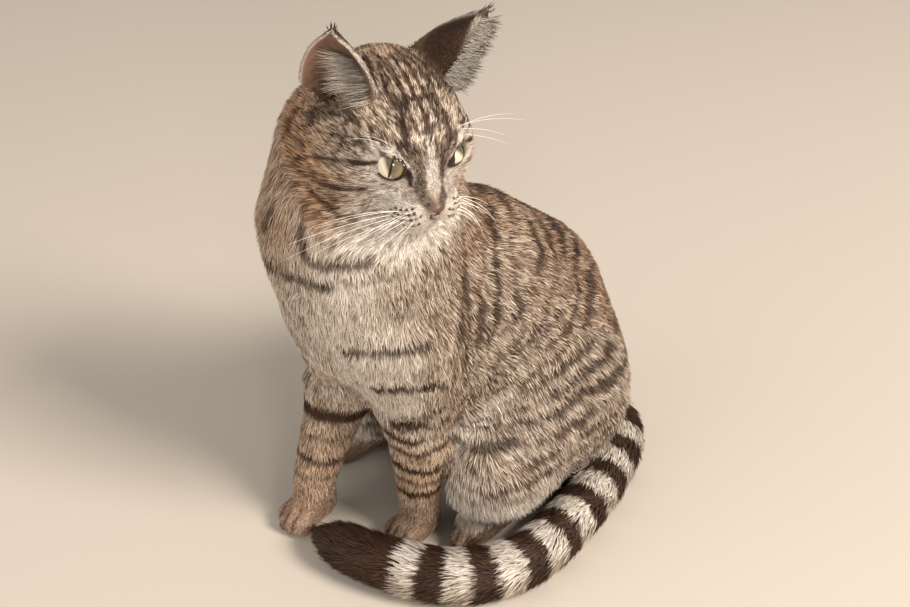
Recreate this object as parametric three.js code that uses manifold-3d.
// A sitting short-haired cat, life size, with its head turned to its left and its tail laid round its feet.
// Millimetres. The cat faces -Y, its left side is +X, +Z is up and it sits on the floor at z = 0.
import * as THREE from "three";
import { mergeVertices } from "three/addons/utils/BufferGeometryUtils.js";
import Module from "manifold-3d";

const wasm = await Module();
wasm.setup();

// ---------------------------------------------------------------- driving dimensions
const GAP = 0.4; // between neighbouring pieces
const SOCKET_GAP = 0.3; // round each eyeball and the nose
const FINENESS = { head: 0.4, neck: 0.7, trunk: 1, foreleg: 0.5, hindleg: 0.75 }; // how far thinning may move them
const CELL = { head: 5, neck: 11, trunk: 12.4, foreleg: 7, hindleg: 10.5 }; // mesh fineness

const HEAD = { centre: [25.5, -48, 295], yaw: 77, nod: 22, roll: 2, scale: 0.9 };
const EYE = { at: [18, -27.5, 8.5], radius: 11, width: 22, height: 17, out: 24, slant: 16 };
const NOSE = { at: [0, -55, -8.5], width: 12, height: 8, depth: 7 };
// Each ear is a cupped sheet from its foot to its tip: where it stands, where it points and which way it opens.
// A low taper makes it a straight-sided point, and a high one keeps it wide for longer.
const EAR = { thick: 2.6, cup: 19, sink: 10 };
const EARS = {
  right: { foot: [-34, 11, 26], tip: [-53, 3, 88], opens: [-0.66, -0.75, 0.1], width: 44, taper: 2.3, round: 0.72 },
  left: { foot: [26, 15, 24], tip: [34, -3, 86], opens: [0.97, -0.15, 0.1], width: 56, taper: 1.3, round: 0.95 },
};

// Spine and limbs: joint centres, with the radius of the coated body there.
const TRUNK = {
  squash: 0.84, // width over depth
  joints: [
    { at: [-4, -35, 214], r: 51 }, // shoulders
    { at: [-3, -38, 178], r: 54 }, // chest
    { at: [0, 14, 150], r: 66 }, // ribs
    { at: [0, 58, 108], r: 72 }, // loin
    { at: [0, 94, 62], r: 64 }, // rump
  ],
};
const NECK = [
  { at: [-11, -51, 232], r: 54 },
  { at: [-10, -44, 268], r: 49 },
];
const FORELEGS = {
  right: { shoulder: [-30, -54, 168], elbow: [-29, -50, 108], wrist: [-30, -80, 34], toes: [-31, -92, 10] },
  left: { shoulder: [30, -48, 166], elbow: [29, -39, 108], wrist: [28.5, -40, 36], toes: [28, -50, 10] },
};
const FORELEG_R = { shoulder: 30, elbow: 23, wrist: 14, toes: 12 };
const HINDLEGS = {
  right: { hip: [-36, 72, 66], knee: [-56, 0, 56], hock: [-58, 56, 14], toes: [-66, -32, 9] },
  left: { hip: [36, 72, 66], knee: [54, 2, 54], hock: [50, 62, 14], toes: [58, -24, 9] },
};
const HINDLEG_R = { hip: 54, knee: 36, hock: 15, toes: 12 };
const TOE = { spread: 6.6, width: 4.6, length: 9, height: 8 };
const TAIL = {
  path: [
    [12, 124, 25],
    [40, 130, 20],
    [64, 117, 17],
    [83, 84, 16.5],
    [98, 34, 16.5],
    [104, -20, 17],
    [87, -58, 17],
    [53, -81, 17],
    [18, -93, 16],
    [-8, -97, 12.5],
  ],
  radii: [17, 17, 17, 17, 17.5, 18, 18, 17.5, 16, 8],
  along: 420,
  lengths: 5,
  rings: 30,
  sides: 12,
};

// Planes that part the solids: a point on each and the direction to the far side.
const CUTS = {
  nape: { point: [0, 0, -35], toward: [0, -0.38, 0.92] }, // in the head's frame
  shoulders: { point: [0, -30, 226], toward: [0, -0.3, 0.95] },
  elbow: 112, // the top of the forelegs
  hip: 165, // the top of the hind legs
  between: 2, // half the space between the forelegs
  toes: 47, // how far out a foreleg may reach
  thigh: { point: [27, 0, 0], toward: [1, 0, -0.3] }, // the left one
  kneeFront: { point: [38, -24.5, 0], toward: [-0.52, -0.85, 0] }, // between foreleg and knee, the left one
};

// How widely two shapes flow into each other.
const FLOW = {
  spine: 30,
  neck: 34,
  head: 20,
  foreleg: 18,
  hindleg: 30,
  elbow: 14,
  wrist: 10,
  knee: 16,
  hock: 12,
  toes: 4,
  cheek: 14,
  jaw: 12,
  brow: 12,
  bridge: 9,
  pad: 5,
  chin: 4,
};
const COLOUR = { coat: 0xb8a58c, eye: 0x9aa05a, ear: 0x8a6f55, nose: 0x9a5a44 };
const ROUGH = { coat: 0.9, eye: 0.1, nose: 0.5 };

// ---------------------------------------------------------------- implicit shapes
const sub = (a, b) => [a[0] - b[0], a[1] - b[1], a[2] - b[2]];
const dot = (a, b) => a[0] * b[0] + a[1] * b[1] + a[2] * b[2];
const clamp01 = (t) => Math.min(1, Math.max(0, t));

// Distance to a limb that tapers from one round end to the other.
const limb = (a, b, ra, rb) => {
  const ab = sub(b, a);
  const size = dot(ab, ab);
  return (p) => {
    const t = clamp01(dot(sub(p, a), ab) / size);
    return Math.hypot(p[0] - a[0] - ab[0] * t, p[1] - a[1] - ab[1] * t, p[2] - a[2] - ab[2] * t) - ra - (rb - ra) * t;
  };
};
// Distance, near enough, to an ellipsoid.
const ellipsoid = (c, r) => (p) => {
  const q = sub(p, c);
  const far = Math.hypot(q[0] / r[0], q[1] / r[1], q[2] / r[2]);
  const steep = Math.hypot(q[0] / r[0] ** 2, q[1] / r[1] ** 2, q[2] / r[2] ** 2);
  return far === 0 ? -Math.min(...r) : (far * (far - 1)) / steep;
};
const blend = (a, b, k) => {
  const h = Math.max(k - Math.abs(a - b), 0) / k;
  return Math.min(a, b) - (h * h * k) / 4;
};
const joined = (k, ...shapes) => (p) => shapes.slice(1).reduce((d, s) => blend(d, s(p), k), shapes[0](p));
const mirrored = (shape) => (p) => shape([Math.abs(p[0]), p[1], p[2]]);

// ---------------------------------------------------------------- head, in its own frame
const turn = (x, y, z, degrees) =>
  new THREE.Quaternion().setFromAxisAngle(new THREE.Vector3(x, y, z), THREE.MathUtils.degToRad(degrees));
const headFrame = new THREE.Matrix4().compose(
  new THREE.Vector3(...HEAD.centre),
  turn(0, 0, 1, HEAD.yaw).multiply(turn(1, 0, 0, HEAD.nod)).multiply(turn(0, 1, 0, HEAD.roll)),
  new THREE.Vector3(HEAD.scale, HEAD.scale, HEAD.scale),
);
const toHead = headFrame.clone().invert();
const apply = (m, p) => {
  const e = m.elements;
  return [
    e[0] * p[0] + e[4] * p[1] + e[8] * p[2] + e[12],
    e[1] * p[0] + e[5] * p[1] + e[9] * p[2] + e[13],
    e[2] * p[0] + e[6] * p[1] + e[10] * p[2] + e[14],
  ];
};

const cranium = ellipsoid([0, 10, 6], [40, 44, 34]);
const cheek = mirrored(ellipsoid([23, -2, -10], [24, 30, 22]));
const jaw = ellipsoid([0, -10, -18], [22, 32, 15]);
const brow = mirrored(ellipsoid([18, -20, 9], [17, 17, 15]));
const bridge = limb([0, -45, -6], [0, -20, 18], 8.5, 15);
const pad = mirrored(ellipsoid([9.5, -44, -16], [12, 12.5, 10.5]));
const chin = ellipsoid([0, -41, -26], [11, 11.5, 9]);
const headLocal = (p) => {
  let d = blend(cranium(p), cheek(p), FLOW.cheek);
  d = blend(d, jaw(p), FLOW.jaw);
  d = blend(d, brow(p), FLOW.brow);
  d = blend(d, bridge(p), FLOW.bridge);
  d = blend(d, pad(p), FLOW.pad);
  return blend(d, chin(p), FLOW.chin);
};
const head = (p) => headLocal(apply(toHead, p)) * HEAD.scale;

// ---------------------------------------------------------------- body
const trunk = (() => {
  const wide = (c) => [c[0] / TRUNK.squash, c[1], c[2]];
  const parts = TRUNK.joints
    .slice(1)
    .map((j, i) => limb(wide(TRUNK.joints[i].at), wide(j.at), TRUNK.joints[i].r, j.r));
  const all = joined(FLOW.spine, ...parts);
  return (p) => all(wide(p)) * TRUNK.squash;
})();
const neck = limb(NECK[0].at, NECK[1].at, NECK[0].r, NECK[1].r);
const toeRow = (at) =>
  joined(
    2.5,
    ...[-1.5, -0.5, 0.5, 1.5].map((i) =>
      ellipsoid(
        [at[0] + i * TOE.spread, at[1] - (Math.abs(i) < 1 ? 8 : 4), TOE.height - 0.5],
        [TOE.width, TOE.length, TOE.height],
      ),
    ),
  );
const legTo = (upper, lower, foot, atKnee, atFoot) => blend(blend(upper, lower, atKnee), foot, atFoot);
const foreleg = ({ shoulder, elbow, wrist, toes }) => {
  const R = FORELEG_R;
  const upper = limb(shoulder, elbow, R.shoulder, R.elbow);
  const lower = limb(elbow, wrist, R.elbow, R.wrist);
  const paw = limb([wrist[0], wrist[1] + 1, 16], toes, R.wrist, R.toes);
  const row = toeRow(toes);
  const leg = (p) => legTo(upper(p), lower(p), paw(p), FLOW.elbow, FLOW.wrist);
  return { upper, whole: (p) => blend(leg(p), row(p), FLOW.toes) };
};
const hindleg = ({ hip, knee, hock, toes }) => {
  const R = HINDLEG_R;
  const thigh = limb(hip, knee, R.hip, R.knee);
  const shank = limb(knee, hock, R.knee - 6, R.hock);
  const foot = limb(hock, toes, R.hock, R.toes);
  const row = toeRow(toes);
  const leg = (p) => legTo(thigh(p), shank(p), foot(p), FLOW.knee, FLOW.hock);
  return { upper: thigh, whole: (p) => blend(leg(p), row(p), FLOW.toes) };
};
const forelegs = Object.values(FORELEGS).map(foreleg);
const hindlegs = Object.values(HINDLEGS).map(hindleg);
// Each leg is "whole", only its "upper" length, or left out as null.
const withLegs = (fore, hind) => (p) => {
  const t = trunk(p);
  let d = blend(blend(t, neck(p), FLOW.neck), head(p), FLOW.head);
  if (fore) for (const leg of forelegs) d = Math.min(d, blend(t, leg[fore](p), FLOW.foreleg));
  if (hind) for (const leg of hindlegs) d = Math.min(d, blend(t, leg[hind](p), FLOW.hindleg));
  return d;
};
const body = withLegs("upper", "upper");

// ---------------------------------------------------------------- from a field to a closed mesh
// One vertex in each cell that the surface crosses, moved onto it, and one quad across each crossed edge.
const CELL_EDGES = [
  [0, 1], [2, 3], [4, 5], [6, 7], [0, 2], [1, 3], [4, 6], [5, 7], [0, 4], [1, 5], [2, 6], [3, 7],
];
const AXES = [[1, 0, 0], [0, 1, 0], [0, 0, 1]];
function surface(field, low, high, cell) {
  const n = [0, 1, 2].map((i) => Math.ceil((high[i] - low[i]) / cell) + 1);
  const at = (i, j, k) => i + n[0] * (j + n[1] * k);
  const value = new Float32Array(n[0] * n[1] * n[2]);
  for (let k = 0; k < n[2]; k++)
    for (let j = 0; j < n[1]; j++)
      for (let i = 0; i < n[0]; i++) {
        const edge = i * j * k === 0 || i === n[0] - 1 || j === n[1] - 1 || k === n[2] - 1;
        value[at(i, j, k)] = edge ? cell : field([low[0] + i * cell, low[1] + j * cell, low[2] + k * cell]);
      }
  const slope = (p) =>
    AXES.map((s) => (field(p.map((c, x) => c + 0.05 * s[x])) - field(p.map((c, x) => c - 0.05 * s[x]))) / 0.1);
  const vertices = [];
  const index = new Map();
  for (let k = 0; k < n[2] - 1; k++)
    for (let j = 0; j < n[1] - 1; j++)
      for (let i = 0; i < n[0] - 1; i++) {
        const corner = (c) => value[at(i + (c & 1), j + ((c >> 1) & 1), k + (c >> 2))];
        const sum = [0, 0, 0];
        let count = 0;
        for (const [a, b] of CELL_EDGES) {
          const va = corner(a);
          const vb = corner(b);
          if (va < 0 === vb < 0) continue;
          const t = va / (va - vb);
          const pa = [a & 1, (a >> 1) & 1, a >> 2];
          const pb = [b & 1, (b >> 1) & 1, b >> 2];
          for (let x = 0; x < 3; x++) sum[x] += pa[x] + (pb[x] - pa[x]) * t;
          count++;
        }
        if (!count) continue;
        let p = sum.map((s, x) => low[x] + ([i, j, k][x] + s / count) * cell);
        if (p.every((c, x) => c > low[x] + cell && c < high[x] - cell)) {
          const g = slope(p);
          const step = Math.max(-cell / 3, Math.min(cell / 3, field(p) / Math.max(dot(g, g), 0.2)));
          p = p.map((c, x) => c - g[x] * step);
        }
        index.set(at(i, j, k), vertices.length / 3);
        vertices.push(...p);
      }
  const faces = [];
  for (let k = 0; k < n[2] - 1; k++)
    for (let j = 0; j < n[1] - 1; j++)
      for (let i = 0; i < n[0] - 1; i++)
        for (let axis = 0; axis < 3; axis++) {
          const s = AXES[axis];
          const va = value[at(i, j, k)];
          const vb = value[at(i + s[0], j + s[1], k + s[2])];
          if (va < 0 === vb < 0) continue;
          const u = AXES[(axis + 1) % 3];
          const v = AXES[(axis + 2) % 3];
          const cellAt = (a, b) =>
            index.get(at(i - a * u[0] - b * v[0], j - a * u[1] - b * v[1], k - a * u[2] - b * v[2]));
          const quad = [cellAt(0, 0), cellAt(1, 0), cellAt(1, 1), cellAt(0, 1)];
          if (vb < 0) quad.reverse();
          faces.push(quad[0], quad[1], quad[2], quad[0], quad[2], quad[3]);
        }
  return meshOf(vertices, faces);
}
function meshOf(vertices, faces) {
  const geometry = new THREE.BufferGeometry()
    .setAttribute("position", new THREE.Float32BufferAttribute(vertices, 3))
    .setIndex(faces);
  geometry.userData.welded = true;
  return geometry;
}

// ---------------------------------------------------------------- solids
const solidOf = (geometry) => {
  const bare = geometry.clone();
  bare.deleteAttribute("normal");
  bare.deleteAttribute("uv");
  const merged = geometry.userData.welded ? bare : mergeVertices(bare, 1e-4);
  return new wasm.Manifold(
    new wasm.Mesh({
      numProp: 3,
      vertProperties: new Float32Array(merged.attributes.position.array),
      triVerts: new Uint32Array(merged.index.array),
    }),
  );
};
const HUGE = 900;
// Everything on the far side of a plane, which may be moved along its own direction.
const beyond = ({ point, toward }, moved = 0, frame = null) => {
  const p = new THREE.Vector3(...point);
  const d = new THREE.Vector3(...toward).normalize();
  if (frame) {
    p.applyMatrix4(frame);
    d.transformDirection(frame);
  }
  const box = new THREE.BoxGeometry(HUGE, HUGE, HUGE).translate(0, 0, HUGE / 2 + moved);
  box.applyQuaternion(new THREE.Quaternion().setFromUnitVectors(new THREE.Vector3(0, 0, 1), d));
  return solidOf(box.translate(p.x, p.y, p.z));
};
const mirrorX = ({ point, toward }) => ({
  point: [-point[0], point[1], point[2]],
  toward: [-toward[0], toward[1], toward[2]],
});
const both = (a, ...rest) => rest.reduce((s, r) => s.intersect(r), a);

// A tube along a smooth path, flattened where it lies on the floor.
function tube(path, radii, from, to, rings, sides, grow = 0) {
  const curve = new THREE.CatmullRomCurve3(path.map((p) => new THREE.Vector3(...p)), false, "centripetal");
  const radiusAt = (t) => {
    const s = clamp01(t) * (radii.length - 1);
    const i = Math.min(Math.floor(s), radii.length - 2);
    return radii[i] + (radii[i + 1] - radii[i]) * (s - i);
  };
  const vertices = [];
  const faces = [];
  const count = Math.max(3, Math.round((to - from) * rings));
  const up = new THREE.Vector3(0, 0, 1);
  const domed = to >= 1;
  for (let i = 0; i <= count; i++) {
    const t = from + ((to - from) * i) / count;
    const c = curve.getPoint(t);
    const d = curve.getTangent(t);
    const side = new THREE.Vector3().crossVectors(up, d).normalize();
    const top = new THREE.Vector3().crossVectors(d, side);
    const closing = domed ? Math.sqrt(1 - ((t - from) / (to - from)) ** 6 * 0.86) : 1;
    const r = radiusAt(t) * closing + grow;
    for (let s = 0; s < sides; s++) {
      const a = ((s + 0.5) / sides) * 2 * Math.PI;
      const v = c.clone().addScaledVector(side, Math.cos(a) * r).addScaledVector(top, Math.sin(a) * r);
      vertices.push(v.x, v.y, Math.max(v.z, grow ? -5 : 0));
    }
  }
  for (let i = 0; i < count; i++)
    for (let s = 0; s < sides; s++) {
      const a = i * sides + s;
      const b = i * sides + ((s + 1) % sides);
      faces.push(a, b, a + sides, b, b + sides, a + sides);
    }
  for (const [ring, flip] of [[0, false], [count, true]]) {
    const centre = vertices.length / 3;
    const mean = [0, 1, 2].map((x) => {
      let total = 0;
      for (let s = 0; s < sides; s++) total += vertices[(ring * sides + s) * 3 + x];
      return total / sides;
    });
    vertices.push(...mean);
    for (let s = 0; s < sides; s++) {
      const a = ring * sides + s;
      const b = ring * sides + ((s + 1) % sides);
      faces.push(centre, flip ? a : b, flip ? b : a);
    }
  }
  return solidOf(meshOf(vertices, faces));
}

// A cupped pointed sheet: an ear in the head's frame, wide at its foot and folded forward along both edges.
function ear({ foot, tip, opens, width, taper, round }) {
  const ROWS = 8;
  const COLS = 6;
  const f = new THREE.Vector3(...foot);
  const axis = new THREE.Vector3(...tip).sub(f);
  const height = axis.length();
  axis.normalize();
  const front = new THREE.Vector3(...opens).addScaledVector(axis, -new THREE.Vector3(...opens).dot(axis)).normalize();
  const across = new THREE.Vector3().crossVectors(axis, front).normalize();
  const point = (row, col, layer) => {
    const v = row / ROWS;
    const u = (col / COLS) * 2 - 1;
    const half = (width / 2) * Math.pow(1 - Math.pow(v, taper), round) * (1 + 0.06 * v) + 1.2;
    const bow = EAR.cup * (1 - v * 0.75) * (1 - u * u);
    const depth = -bow - (layer ? EAR.thick : 0) * (1 - 0.5 * v) + EAR.cup * 0.35;
    const rise = -EAR.sink + v * (height + EAR.sink);
    return f.clone().addScaledVector(axis, rise).addScaledVector(across, u * half).addScaledVector(front, depth);
  };
  const vertices = [];
  const faces = [];
  const at = (row, col, layer) => (row * (COLS + 1) + col) * 2 + layer;
  for (let row = 0; row <= ROWS; row++)
    for (let col = 0; col <= COLS; col++)
      for (const layer of [0, 1]) vertices.push(...point(row, col, layer).applyMatrix4(headFrame).toArray());
  const quad = (a, b, c, d) => faces.push(a, b, c, a, c, d);
  for (let row = 0; row < ROWS; row++)
    for (let col = 0; col < COLS; col++) {
      quad(at(row, col, 0), at(row, col + 1, 0), at(row + 1, col + 1, 0), at(row + 1, col, 0));
      quad(at(row, col, 1), at(row + 1, col, 1), at(row + 1, col + 1, 1), at(row, col + 1, 1));
    }
  for (let row = 0; row < ROWS; row++) {
    quad(at(row, 0, 1), at(row, 0, 0), at(row + 1, 0, 0), at(row + 1, 0, 1));
    quad(at(row, COLS, 0), at(row, COLS, 1), at(row + 1, COLS, 1), at(row + 1, COLS, 0));
  }
  for (let col = 0; col < COLS; col++) {
    quad(at(0, col, 1), at(0, col + 1, 1), at(0, col + 1, 0), at(0, col, 0));
    quad(at(ROWS, col, 0), at(ROWS, col + 1, 0), at(ROWS, col + 1, 1), at(ROWS, col, 1));
  }
  return solidOf(meshOf(vertices, faces));
}

// ---------------------------------------------------------------- eyes and nose, in the head's frame
const eyeFrame = (side) =>
  headFrame
    .clone()
    .multiply(new THREE.Matrix4().makeTranslation(side * EYE.at[0], EYE.at[1], EYE.at[2]))
    .multiply(new THREE.Matrix4().makeRotationZ(THREE.MathUtils.degToRad(side * EYE.out)));
const eyeball = (side, grow) =>
  solidOf(new THREE.SphereGeometry(EYE.radius + grow / HEAD.scale, 12, 8).applyMatrix4(eyeFrame(side)));
const lidOpening = (side) => {
  const w = EYE.width / 2;
  const h = EYE.height / 2;
  const almond = new THREE.Shape();
  almond.moveTo(-w, 0);
  almond.bezierCurveTo(-w * 0.6, h * 1.35, w * 0.5, h * 1.25, w, 0);
  almond.bezierCurveTo(w * 0.6, -h * 1.25, -w * 0.5, -h * 1.35, -w, 0);
  const prism = new THREE.ExtrudeGeometry(almond, { depth: 40, bevelEnabled: false, curveSegments: 5 });
  prism.rotateZ(THREE.MathUtils.degToRad(side * EYE.slant));
  prism.rotateX(Math.PI / 2);
  return solidOf(prism.applyMatrix4(eyeFrame(side)));
};
const noseLeather = (grow) => {
  const g = new THREE.SphereGeometry(1, 10, 6);
  g.scale(NOSE.width / 2 + grow, NOSE.depth / 2 + grow, NOSE.height / 2 + grow);
  return solidOf(g.translate(...NOSE.at).applyMatrix4(headFrame));
};

// ---------------------------------------------------------------- the pieces
const aboveFloor = beyond({ point: [0, 0, 0], toward: [0, 0, 1] });
const LOW = [-125, -150, -12];
const region = (part, low, high, grow = 0, field = body) =>
  solidOf(surface((p) => field(p) - grow, low, high, CELL[part]))
    .simplify(FINENESS[part])
    .intersect(aboveFloor);

const headSide = beyond(CUTS.nape, GAP / 2, headFrame);
const flip = (cut) => ({ point: cut.point, toward: cut.toward.map((v) => -v) });
const bodySide = (moved) => beyond(flip(CUTS.nape), moved, headFrame);

const c = HEAD.centre;
const headRegion = (grow) =>
  region("head", [c[0] - 70, c[1] - 65, c[2] - 95], [c[0] + 66, c[1] + 70, c[2] + 56], grow);
let headSolid = headRegion(0).intersect(headSide);
const headClear = headRegion(2 * FINENESS.head + GAP / 2);
for (const side of [-1, 1]) headSolid = headSolid.subtract(eyeball(side, SOCKET_GAP)).subtract(lidOpening(side));
headSolid = headSolid.subtract(noseLeather(SOCKET_GAP));

const neckSolid = both(
  region("neck", [-80, -115, 165], [80, 45, 330]),
  bodySide(GAP / 2),
  beyond(CUTS.shoulders, GAP / 2),
);

const legRegion = {};
const low = (z) => beyond({ point: [0, 0, z], toward: [0, 0, -1] });
for (const [side, s] of [["left", 1], ["right", -1]]) {
  const thigh = s > 0 ? CUTS.thigh : mirrorX(CUTS.thigh);
  const knee = s > 0 ? CUTS.kneeFront : mirrorX(CUTS.kneeFront);
  const outside = (m) => beyond({ point: [s * CUTS.between, 0, 0], toward: [s, 0, 0] }, m);
  const inside = (m) => beyond({ point: [s * CUTS.toes, 0, 0], toward: [-s, 0, 0] }, m);
  legRegion["foreleg_" + side] = (m) => both(low(CUTS.elbow + m), beyond(knee, -m), outside(-m), inside(-m));
  legRegion["hindleg_" + side] = (m) => both(beyond(thigh, -m), low(CUTS.hip + m));
}
const fine = region("foreleg", [-75, -140, -12], [75, 20, CUTS.elbow + 30], 0, withLegs("whole", null));
const coarse = region("hindleg", LOW, [125, 175, 190], 0, withLegs(null, "whole"));
const wide = region("trunk", LOW, [125, 175, 300]);

const tailAll = (grow) => tube(TAIL.path, TAIL.radii, 0, 1, TAIL.rings, TAIL.sides, grow);
const tailClear = tailAll(1);
const pieces = {};
for (const side of ["left", "right"]) {
  pieces["foreleg_" + side] = fine.intersect(legRegion["foreleg_" + side](-GAP / 2));
  pieces["hindleg_" + side] = coarse
    .intersect(legRegion["hindleg_" + side](-GAP / 2))
    .subtract(legRegion["foreleg_" + side](GAP / 2))
    .subtract(tailClear);
}
let trunkSolid = wide.intersect(beyond(flip(CUTS.shoulders), GAP / 2)).subtract(tailClear);
for (const make of Object.values(legRegion)) trunkSolid = trunkSolid.subtract(make(GAP / 2));

// ---------------------------------------------------------------- the group
const group = new THREE.Group();
function add(name, solid, colour = COLOUR.coat, roughness = ROUGH.coat) {
  const [largest] = solid.decompose().sort((a, b) => b.volume() - a.volume()); // the rest are slivers of the cuts
  const made = largest.getMesh();
  const geometry = new THREE.BufferGeometry()
    .setAttribute("position", new THREE.BufferAttribute(new Float32Array(made.vertProperties), 3))
    .setIndex(new THREE.BufferAttribute(new Uint32Array(made.triVerts), 1));
  const mesh = new THREE.Mesh(geometry, new THREE.MeshStandardMaterial({ color: colour, roughness }));
  mesh.name = name;
  group.add(mesh);
}
add("head", headSolid);
add("neck", neckSolid);
add("trunk", trunkSolid);
for (const [name, solid] of Object.entries(pieces)) add(name, solid);
for (const [name, s] of [["left", 1], ["right", -1]]) {
  add("eye_" + name, eyeball(s, 0), COLOUR.eye, ROUGH.eye);
  add("ear_" + name, ear(EARS[name]).subtract(headClear), COLOUR.ear);
}
add("nose", noseLeather(0), COLOUR.nose, ROUGH.nose);
for (let i = 0; i < TAIL.lengths; i++) {
  const spare = GAP / 2 / TAIL.along;
  const from = i / TAIL.lengths + spare;
  const to = i === TAIL.lengths - 1 ? 1 : (i + 1) / TAIL.lengths - spare;
  add("tail_" + (i + 1), tube(TAIL.path, TAIL.radii, from, to, TAIL.rings, TAIL.sides));
}

// The frame's origin is under the middle of the whole.
const box = new THREE.Box3().setFromObject(group);
const middle = box.getCenter(new THREE.Vector3());
for (const mesh of group.children) mesh.geometry.translate(-middle.x, -middle.y, 0);

export default group;
